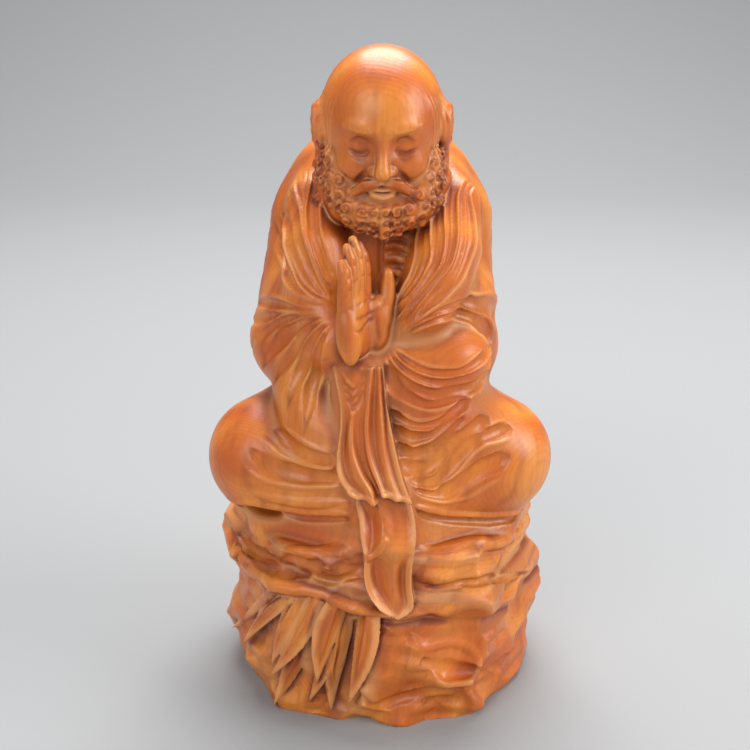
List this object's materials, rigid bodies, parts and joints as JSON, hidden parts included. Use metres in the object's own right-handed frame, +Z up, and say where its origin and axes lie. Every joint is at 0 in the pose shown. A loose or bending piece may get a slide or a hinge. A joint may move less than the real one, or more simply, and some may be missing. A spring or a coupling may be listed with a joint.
{
  "type": "bodhidharma statue",
  "caption": "Carved wooden statue of a bald bearded monk seated cross-legged on a rock, one hand raised before the chest.",
  "frame": {"origin": "middle of the statue's box in plan, on the flat underside of the rock", "axes": "+Z up, from the rock to the crown; -Y out of the figure's front; +X towards the figure's left hand"},
  "size_m": [0.1054, 0.0884, 0.2005],
  "materials": {
    "wood": "orange-brown cypress, oiled and rubbed to a satin gloss"
  },
  "bodies": {
    "root": {"carved_statue": "wood"}
  },
  "joints": []
}
